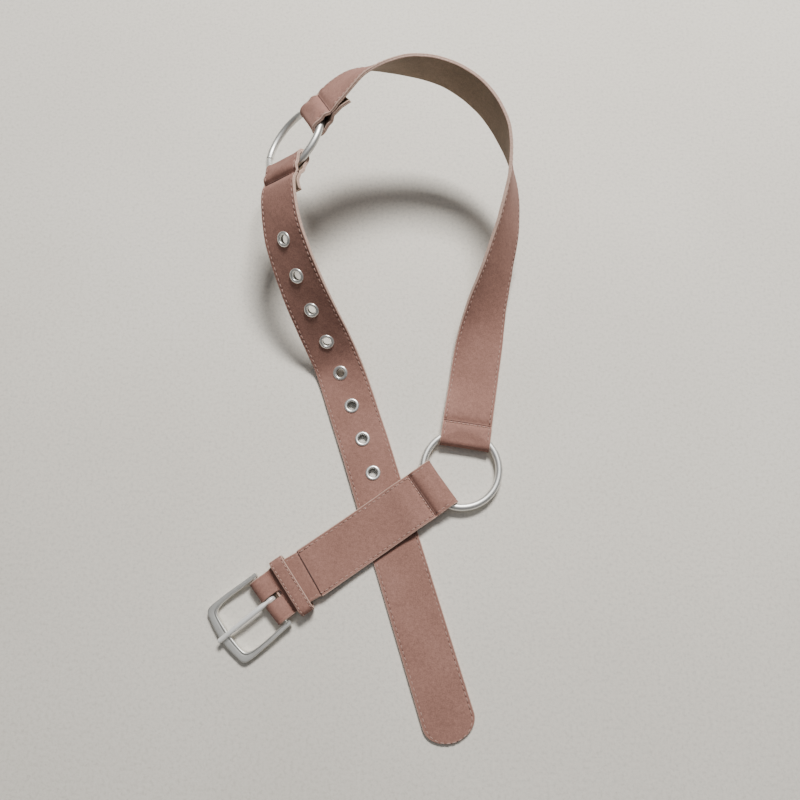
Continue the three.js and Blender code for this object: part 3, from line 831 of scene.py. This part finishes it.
BUCKLE_METAL = metal_material(
    "buckle_metal", dark=(0.69, 0.68, 0.645), light=(0.82, 0.81, 0.77),
    gloss=(0.32, 0.44), grain=(9, 1, 9), metallic=0.85)
# Satin metal in part, with a low metallic share and a near-white base: the diffuse colour is a painted
# highlight standing in for the prong's bright reflection.
PRONG_METAL_PAINTED_HIGHLIGHT = metal_material(
    "prong_metal_painted_highlight", dark=(0.93, 0.92, 0.90), light=(0.97, 0.96, 0.94),
    gloss=(0.28, 0.38), grain=(9, 9, 1), metallic=0.3)
BRIGHT = metal_material(
    "bright_metal", dark=(0.82, 0.81, 0.78), light=(0.91, 0.90, 0.87),
    gloss=(0.26, 0.38), grain=(4, 4, 4), metallic=0.85)
# Near-black painted shade inside the eyelets' bores, where the floor below lies in shadow.
BORE_PAINTED_SHADE = metal_material(
    "bore_painted_shade", dark=(0.07, 0.07, 0.065), light=(0.11, 0.11, 0.10),
    gloss=(0.5, 0.65), grain=(4, 4, 4), metallic=0.9)


# The three straps

lower_axes = (UP, heading(0), heading(90))
upper_axes = ring_axes(UPPER_LEAN_DEG, UPPER_LEAN_TOWARDS_DEG)

long_start = ring_fold(LOWER_RING, lower_axes, LOWER_LONG_STRAP_DEG, 0.0)
long_end = ring_fold(UPPER_RING, upper_axes, UPPER_LONG_STRAP_DEG, UPPER_TAIL_LIFT)
long_route = make_route(leaving_rows(long_start) + table_rows(LONG_ROUTE) + arriving_rows(long_end))
long_strap = build_strap(long_route, long_start, long_end)

tip_start = ring_fold(UPPER_RING, upper_axes, UPPER_TIP_STRAP_DEG, UPPER_TAIL_LIFT)
tip_heading = heading(TIP_HEADING_DEG)
landing = np.array([TIP_ROUTE[-1][0], TIP_ROUTE[-1][1], 0.0])
tip_rows = leaving_rows(tip_start) + table_rows(TIP_ROUTE)
tip_rows += [(landing + tip_heading * run + UP * height, 0.0) for run, height in TIP_FLAT_HEIGHTS]
tip_route = make_route(tip_rows)
tip_strap = build_strap(tip_route, tip_start, None, tip_heading=tip_heading)

strap_heading = heading(LOWER_BUCKLE_STRAP_DEG)
buckle_heading = heading(BUCKLE_HEADING_DEG)
bar_centre = strap_heading * BAR_FROM_RING + UP * BAR_HEIGHT
buckle_start = ring_fold(LOWER_RING, lower_axes, LOWER_BUCKLE_STRAP_DEG, 0.0)
bar_fold = {
    "centre": bar_centre, "to_strap": -buckle_heading, "normal": UP,
    "width": np.cross(-buckle_heading, UP), "radius": BAR_RADIUS + BAR_SLACK + TOP,
    "straight": 0.5, "seam": BUCKLE_SEAM_FROM_BAR, "front": BUCKLE_SEAM_HEIGHT - BAR_HEIGHT,
    "tail": BUCKLE_TAIL, "tail_lift": 0.0, "round_ring": False,
}
buckle_rows = [(seam_point(buckle_start), 0.0)]
buckle_rows += [
    (strap_heading * (SEAM_FROM_RING + run) + UP * height, 0.0) for run, height in BUCKLE_STRAP_HEIGHTS
]
buckle_route = make_route(buckle_rows + arriving_rows(bar_fold))


def buckle_half(from_seam):
    """The strap's buckle end is a little narrower, from the second seam on."""
    start = SECOND_SEAM_BACK + NARROWING_RUN / 2
    return HALF_WIDTH - NARROWING * min(1.0, max(0.0, (start - from_seam) / NARROWING_RUN))


buckle_strap = build_strap(buckle_route, buckle_start, bar_fold, buckle_half)

for route in (long_route, tip_route, buckle_route):
    print("centre line from seam to seam or tip:", round(route.length, 1), "mm")

long_seams = (0.0, long_route.length)
tip_seams = (0.0,)
buckle_seams = (0.0, buckle_route.length)
second_seam = buckle_route.length - SECOND_SEAM_BACK

long_piece = strap_mesh("long_strap_suede", long_strap, long_seams, 0.4)
tip_piece = strap_mesh("tip_strap_suede", tip_strap, tip_seams, 1.7)
buckle_piece = strap_mesh("buckle_strap_suede", buckle_strap, buckle_seams, 2.9, second_seam)


# Rings

def ring_wire(name, centre, axes, gap_deg=0.0, gap_at=0.0):
    """A ring of round wire, closed, or with a narrow gap where its ends meet."""
    normal, x, y = axes
    rows, sides = 160, 28
    closed = gap_deg == 0
    points = []
    for i in range(rows):
        share = i / rows if closed else i / (rows - 1)
        turn = math.radians(gap_at + gap_deg / 2 + (360 - gap_deg) * share)
        out = x * math.cos(turn) + y * math.sin(turn)
        for c, s in circle(sides):
            points.append(np.array(centre) + out * (RING_RADIUS + WIRE_RADIUS * s)
                          + normal * (WIRE_RADIUS * c))
    faces = tube_faces(rows, sides, closed_rows=True) if closed else capped_tube(rows, sides)
    return make_object(name, points, faces, [SATIN], flat_ends=not closed)


ring_a_piece = ring_wire("upper_ring_wire", UPPER_RING, upper_axes, WIRE_SPLIT_DEG, UPPER_SPLIT_DEG)
ring_b_piece = ring_wire("lower_ring_wire", LOWER_RING, lower_axes)


# Eyelets

def moved(matrix, x, y, z):
    """A point of the matrix's axes in the plan."""
    return np.array(matrix @ Vector((x, y, z)))


def basis(x, y, z, origin):
    return Matrix((
        (x[0], y[0], z[0], origin[0]), (x[1], y[1], z[1], origin[1]), (x[2], y[2], z[2], origin[2]),
        (0, 0, 0, 1),
    ))


def on_tip_strap(s):
    """The axes of a place on the tip strap's centre line: width, backwards, and out of the face."""
    p, _, w, n = (v[0] for v in tip_route.at(s))
    return basis(w, np.cross(n, w), n, p)


def lathe(profile, sides, matrix):
    """A closed ring turned round the local z axis. The profile is a closed loop of (radius, height)."""
    points = [moved(matrix, r * c, r * s, z) for c, s in circle(sides) for r, z in profile]
    return points, tube_faces(sides, len(profile), closed_rows=True)


def prism(outline, low_end, high_end, matrix):
    """A straight plug over a closed outline in the matrix's xy plane."""
    points = [moved(matrix, x, y, z) for z in (low_end, high_end) for x, y in outline]
    return points, capped_tube(2, len(outline))


COLLAR, TUBE = 0, 1


def eyelet_profile():
    """The zone, radius and height of the collar's roll, the tube, and the thin washer at the back."""
    seat = TOP - 0.05
    back = EYELET_BACK_SIT
    washer = back - EYELET_WASHER
    middle = (EYELET_BORE_RADIUS + EYELET_FLANGE_RADIUS) / 2
    half = (EYELET_FLANGE_RADIUS - EYELET_BORE_RADIUS) / 2
    roll = [math.radians(15 * k) for k in range(13)]
    profile = [(COLLAR, middle + half * math.cos(a), seat + 0.16 + EYELET_COLLAR_HEIGHT * math.sin(a))
               for a in roll]
    profile += [(TUBE, EYELET_BORE_RADIUS, seat - 0.3), (TUBE, EYELET_BORE_RADIUS, back - 0.15),
                (TUBE, EYELET_BORE_RADIUS + 0.15, washer)]
    profile += [(COLLAR, r, z) for r, z in (
        (EYELET_BACK_RADIUS - 0.2, washer), (EYELET_BACK_RADIUS, back - 0.14), (EYELET_BACK_RADIUS, back),
        (EYELET_TUBE_RADIUS, back), (EYELET_TUBE_RADIUS, seat), (EYELET_FLANGE_RADIUS, seat))]
    return profile


def eyelet(name, matrix):
    """One eyelet, whose bore is painted near-black: painted shade inside the hole."""
    zones = [row[0] for row in eyelet_profile()]
    points, faces = lathe([row[1:] for row in eyelet_profile()], 48, matrix)
    slots = [min(zones[f[0] % len(zones)], zones[f[1] % len(zones)]) for f in faces]
    return make_object(name, points, faces, [BRIGHT, BORE_PAINTED_SHADE], slots=slots)


PUNCH_REACH = 4
punch_circle = [((EYELET_TUBE_RADIUS + 0.15) * c, (EYELET_TUBE_RADIUS + 0.15) * s) for c, s in circle(28)]
eyelets = []
punch_points, punch_faces = [], []
for i in range(EYELET_COUNT):
    matrix = on_tip_strap(FIRST_EYELET + EYELET_PITCH * i)
    eyelets.append(eyelet(f"eyelet_{i + 1}_rolled", matrix))
    points, faces = prism(punch_circle, -PUNCH_REACH, PUNCH_REACH, matrix)
    punch_faces += [tuple(len(punch_points) + k for k in f) for f in faces]
    punch_points += points
cut_away(tip_piece, make_object("punch", punch_points, punch_faces, [RAW], smooth=False))


# Slot for the prong in the buckle strap's fold

def bar_matrix(pitch_deg):
    """The axes of the bar: x towards the buckle's far side, y along the bar."""
    turn = Matrix.Rotation(math.radians(BUCKLE_HEADING_DEG), 4, "Z")
    turn = turn @ Matrix.Rotation(math.radians(pitch_deg), 4, "Y")
    return Matrix.Translation(Vector(bar_centre)) @ turn


def slot_outline(length):
    """A long hole with a round end on the strap's side of the bar, open past the fold's end."""
    half = SLOT_WIDTH / 2
    turns = [math.radians(90 + 15 * k) for k in range(13)]
    return [(8.0, -half), (8.0, half)] + [
        (half - length + half * math.cos(a), half * math.sin(a)) for a in turns]


for length, low_end, high_end in ((SLOT_FRONT, 0.0, 8.0), (SLOT_BACK, -8.0, 0.2)):
    plug = prism(slot_outline(length), low_end, high_end, bar_matrix(0.0))
    cut_away(buckle_piece, make_object("slot", *plug, [RAW], smooth=False))


# Buckle frame

def frame_stations():
    """Rows (outer x, outer y, inner x, inner y) of the band's edges, from one bar end to the other."""
    half = [
        (-2.75, 20.2, -2.75, 18.2), (-2.6, 20.7, -2.6, 17.8), (-1.6, 20.9, -1.6, 17.7), (2, 20.95, 2, 17.8),
        (8, 21.3, 8, 18.1), (14, 21.7, 14, 18.45), (20, 22.0, 20, 18.6), (26, 22.15, 25.4, 18.45),
        (31.4, 22.2, 28.9, 17.8), (35.4, 21.6, 31.4, 16.6), (37.6, 19.4, 32.7, 14.8),
        (38.5, 15.6, 33.3, 12.0), (39.4, 11.0, 33.6, 8.6), (40.1, 6.0, 33.8, 5.0), (40.5, 0.0, 33.9, 0.0),
    ]
    return half + [(ox, -oy, ix, -iy) for ox, oy, ix, iy in reversed(half[:-1])]


def refine(rows, steps):
    t = np.linspace(0, len(rows) - 1, (len(rows) - 1) * steps + 1)
    return catmull_rom(np.array(rows), t, False)


def buckle_frame():
    """A flat band with rounded edges and a low raised rim along its inner side."""
    outer_edge = [(0.0, -0.86), (0.0, -0.8), (0.0, 0.62), (0.0, 0.68), (0.02, 0.84), (0.06, 0.94)]
    face = [(0.1, 0.97), (0.13, 0.975), (0.3, 0.97), (0.5, 0.95), (0.62, 0.93), (0.65, 0.92), (0.68, 0.89)]
    rim = [(0.71, 0.9), (0.75, 1.0), (0.8, 1.07), (0.86, 1.09), (0.92, 1.06), (0.97, 0.96)]
    inner_edge = [(1.0, 0.78), (1.0, 0.72), (1.0, -0.74), (1.0, -0.8), (0.97, -0.94), (0.92, -1.0)]
    back = [(0.88, -1.0), (0.12, -1.0), (0.08, -1.0), (0.03, -0.95)]
    section = outer_edge + face + rim + inner_edge + back
    rows = refine(frame_stations(), 5)
    points = [
        moved(pitched, ox + (ix - ox) * share, oy + (iy - oy) * share, height * FRAME_HALF_THICK)
        for ox, oy, ix, iy in rows for share, height in section
    ]
    return make_object("buckle_frame_cast", points, capped_tube(len(rows), len(section)), [BUCKLE_METAL])


def rod(name, stations, sides, material):
    """A round bar through (x, y, z, radius) rows, seen in the pitched buckle's axes."""
    centres = [Vector(row[:3]) for row in stations]
    points = []
    for i, centre in enumerate(centres):
        direction = (centres[min(len(centres) - 1, i + 1)] - centres[max(0, i - 1)]).normalized()
        side = direction.cross(Vector((0, 0, 1))).normalized()
        up = side.cross(direction)
        radius = stations[i][3]
        points += [moved(pitched, *(centre + side * (radius * c) + up * (radius * s)))
                   for c, s in circle(sides)]
    return make_object(name, points, capped_tube(len(centres), sides), [material])


def prong_shank():
    """The round shank of the tongue, which lies over the frame's far side."""
    line = [
        (-3.1, 1.6, 0.5), (-2.5, 2.3, 0.8), (-1.4, 2.85, 0.9), (0.4, 3.1, 1.05), (2.4, 3.15, 1.25),
        (4.0, 3.2, 1.6), (5.2, 3.3, 1.8), (9, 3.6, 1.88), (14, 3.9, 1.9), (20, 4.05, 1.9), (26, 4.1, 1.86),
        (32, 4.05, 1.8), (36.5, 3.95, 1.74), (40.0, 3.8, 1.68), (41.0, 3.75, 1.6), (41.35, 3.73, 1.4),
        (41.5, 3.72, 1.05),
    ]
    return rod("prong_shank", [(x, 0, z, radius) for x, z, radius in line], 24, PRONG_METAL_PAINTED_HIGHLIGHT)


def prong_eye_band():
    """The flattened strip of the prong that goes round the bar."""
    inner, outer, half = 2.2, 3.45, 1.55
    corners = [(inner, -half + 0.2), (inner + 0.2, -half), (outer - 0.35, -half), (outer, -half + 0.4),
               (outer, half - 0.4), (outer - 0.35, half), (inner + 0.2, half), (inner, half - 0.2)]
    rows = 30
    points = [moved(pitched, r * c, y, r * s) for c, s in circle(rows) for r, y in corners]
    return make_object("prong_eye", points, tube_faces(rows, len(corners), closed_rows=True), [PRONG_METAL_PAINTED_HIGHLIGHT])


pitched = bar_matrix(BUCKLE_PITCH_DEG)
buckle_frame_piece = buckle_frame()
bar_rows = [(0, y, 0, BAR_RADIUS) for y in (-BAR_HALF_LENGTH, -10, 0, 10, BAR_HALF_LENGTH)]
bar_piece = rod("buckle_bar", bar_rows, 24, BUCKLE_METAL)
prong_piece = prong_shank()
prong_eye_piece = prong_eye_band()


# Keeper

def rounded_loop(half_width, low_z, high_z, corner, steps):
    """A closed loop in (y, z) with round corners, and its outward normals."""
    corners = [(half_width - corner, low_z + corner, -90), (half_width - corner, high_z - corner, 0),
               (-half_width + corner, high_z - corner, 90), (-half_width + corner, low_z + corner, 180)]
    loop = []
    for cy, cz, start in corners:
        for i in range(steps + 1):
            angle = math.radians(start + 90 * i / steps)
            loop.append((cy + corner * math.cos(angle), cz + corner * math.sin(angle),
                         math.cos(angle), math.sin(angle)))
    dense = []
    for i, here in enumerate(loop):
        there = loop[(i + 1) % len(loop)]
        reach = math.hypot(there[0] - here[0], there[1] - here[1])
        pieces = max(1, int(reach / 1.3))
        for k in range(pieces):
            q = k / pieces
            dense.append(tuple(here[j] + (there[j] - here[j]) * q for j in range(4)))
    return dense


def keeper_mesh():
    """The closed band, and the lines of the two seams on its top and sides."""
    matrix = Matrix.Translation(Vector(strap_heading * KEEPER_FROM_RING)) @ Matrix.Rotation(
        math.radians(LOWER_BUCKLE_STRAP_DEG), 4, "Z")
    half = KEEPER_LENGTH / 2
    wall = KEEPER_WALL / 2
    loop = rounded_loop(KEEPER_INNER_WIDTH / 2 + wall, wall, KEEPER_INNER_HEIGHT + 3 * wall,
                        KEEPER_CORNER - wall, 5)
    face = [(half - 0.35, wall), (half - 0.9, wall + 0.02), (half - KEEPER_STITCH_INSET, wall - 0.1),
            (half - 1.7, wall + 0.02), (1.6, wall + 0.1)]
    section = [(-x, h, FACE) for x, h in face] + [(0, wall + 0.12, FACE)]
    section += [(x, h, FACE) for x, h in reversed(face)]
    section += [(half, h, EDGE) for h in (wall - 0.3, 0, -wall + 0.3)]
    section += [(x, -wall, LINING) for x in (half - 0.35, 0, -half + 0.35)]
    section += [(-half, h, EDGE) for h in (-wall + 0.3, 0, wall - 0.3)]
    points, uvs = [], []
    for i, (y, z, ny, nz) in enumerate(loop):
        ripple = 0.05 * math.sin(i * 0.9) + 0.04 * math.sin(i * 0.37 + 1.2)
        for k, (x, h, zone) in enumerate(section):
            rise = h + (ripple if zone == FACE else 0.0)
            points.append(moved(matrix, x, y + ny * rise, z + nz * rise))
            uvs.append((i * 0.012, k * 0.01))
    faces = tube_faces(len(loop), len(section), closed_rows=True)
    points = np.array(points)
    points[:, 2] = np.maximum(points[:, 2], FLOOR_GAP)
    slots = face_slots(faces, [row[2] for row in section])
    seams = []
    for x in (-half + KEEPER_STITCH_INSET, half - KEEPER_STITCH_INSET):
        rise = wall - 0.02
        sewn = [row for row in loop if row[1] > KEEPER_STITCH_FLOOR]
        seams.append((np.array([moved(matrix, x, y + ny * rise, z + nz * rise) for y, z, ny, nz in sewn]),
                      np.array([matrix.to_3x3() @ Vector((0, ny, nz)) for _, _, ny, nz in sewn])))
    return make_object("keeper_suede", points, faces, SUEDE, uvs, slots), seams


keeper_piece, keeper_seams = keeper_mesh()


# Sewing

def edge_seams(strap):
    """The lines of the edge seams: one round the tip, or one on either side."""
    rows = [i for i, kind in enumerate(strap.kind) if kind in ("run", "tip")]
    left, right = (edge_line(strap, rows, side) for side in (-1, 1))
    if "tip" in strap.kind:
        return [tuple(np.vstack([left[k], right[k][::-1]]) for k in range(2))]
    return [left, right]


def fold_front(strap, end):
    """The rows on the front of a ring's fold, which are the half nearer to the seam on the face."""
    rows = [i for i, kind in enumerate(strap.kind) if kind == "fold" and strap.end[i] == end
            and strap.a[i] > 1.0]
    return rows[:len(rows) // 2] if end == 1 else rows[len(rows) // 2:]


def sew_strap(strap, name, pressed, cross_seams):
    """The threads of a strap. cross_seams: where along it, whether dark with painted shade in its crease,
    whether with knots.
    """
    threads = Threads()
    for points, normals in edge_seams(strap):
        sew_along(threads, points, normals, skip=1.6)
    for end in strap.ring_ends:
        for side in (-1, 1):
            sew_along(threads, *edge_line(strap, fold_front(strap, end), side), pitch=3.6, skip=0.6)
    sewn = [i for i, kind in enumerate(strap.kind) if kind in ("run", "fold")]
    for at, dark, knots in cross_seams:
        i = min(sewn, key=lambda row: abs(strap.along[row] - at))
        height = TOP + 0.1 - seam_press(strap, i, pressed) + float(ring_relief(strap, i, np.zeros(1))[0])
        sew_across(threads, strap.p[i], strap.w[i], strap.n[i], strap.half[i], height, dark, knots)
    return threads.make(name)


def sew_keeper():
    threads = Threads()
    for points, normals in keeper_seams:
        sew_along(threads, points, normals, pitch=3.1, length=2.1)
    return threads.make("keeper_thread")


# True in the second place of a cross seam lays painted shade in its crease.
long_threads = sew_strap(long_strap, "long_strap_thread", long_seams, [
    (0.0, True, False), (-LIGHT_ROW_IN_FOLD, False, False), (long_route.length, True, True)])
tip_threads = sew_strap(tip_strap, "tip_strap_thread", tip_seams, [(0.0, True, True)])
buckle_threads = sew_strap(buckle_strap, "buckle_strap_thread", buckle_seams, [
    (0.0, True, False), (LIGHT_ROW_ON_STRAP, False, False), (second_seam, True, False),
    (buckle_route.length, True, False)])
keeper_threads = sew_keeper()


# What moves with what

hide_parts("long_strap")
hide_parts("tip_strap")
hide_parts("buckle_strap")
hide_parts("keeper")
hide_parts("ring_a")
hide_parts("ring_b")
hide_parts("buckle_frame")
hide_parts("buckle_prong")
for i, piece in enumerate(eyelets):
    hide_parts(f"eyelet_{i + 1}")
for piece in (long_piece, tip_piece, buckle_piece, keeper_piece,
              long_threads, tip_threads, buckle_threads, keeper_threads):
    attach(piece, "straps")
for piece in eyelets:
    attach(piece, "straps")
for piece, body in ((ring_a_piece, "upper_ring"), (ring_b_piece, "lower_ring")):
    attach(piece, body)
for piece, body in ((buckle_frame_piece, "frame"), (bar_piece, "frame"), (prong_piece, "prong"),
                    (prong_eye_piece, "prong")):
    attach(piece, body)


# Floor, light and camera

FLOOR_HALF = 2.5
FLOOR_DROP = 0.0001
floor_mesh = bpy.data.meshes.new("floor")
floor_mesh.from_pydata(
    [(x * FLOOR_HALF, y * FLOOR_HALF, -FLOOR_DROP) for x, y in ((-1, -1), (1, -1), (1, 1), (-1, 1))], [],
    [(0, 1, 2, 3)])
floor = bpy.data.objects.new("floor", floor_mesh)
floor_mesh.materials.append(floor_material())
bpy.context.scene.collection.objects.link(floor)


def area_light(name, place_at, target, size, power, color):
    light = bpy.data.lights.new(name, "AREA")
    light.shape = "RECTANGLE"
    light.size, light.size_y = size
    light.energy = power
    light.color = color
    obj = bpy.data.objects.new(name, light)
    obj.location = place_at
    obj.rotation_euler = (Vector(target) - Vector(place_at)).to_track_quat("-Z", "Y").to_euler()
    bpy.context.scene.collection.objects.link(obj)


area_light("window", place_at=(0.26, 0.955, 1.3), target=(0, 0.05, 0), size=(0.5, 0.32),
           power=42, color=(1.0, 0.985, 0.95))
area_light("ceiling", place_at=(0, 0.3, 2.2), target=(0, 0, 0), size=(2.0, 2.0),
           power=7.5, color=(0.97, 0.985, 1.0))
world = bpy.data.worlds.new("pale_room")
world.use_nodes = True
background = world.node_tree.nodes["Background"]
background.inputs["Color"].default_value = (0.97, 0.98, 1.0, 1)
background.inputs["Strength"].default_value = 0.1
bpy.context.scene.world = world

CAMERA_PLAN = np.array([-42.5, -83.3, 502.0])
CAMERA_TILT_DEG = 15.0
camera_data = bpy.data.cameras.new("camera")
camera_data.sensor_width = 36.0
camera_data.lens = 32.4
camera_data.clip_start = 0.01
camera = bpy.data.objects.new("camera", camera_data)
camera.location = Vector((CAMERA_PLAN + ORIGIN) / 1000)
camera.rotation_euler = (math.radians(CAMERA_TILT_DEG), 0, 0)
bpy.context.scene.collection.objects.link(camera)
bpy.context.scene.camera = camera
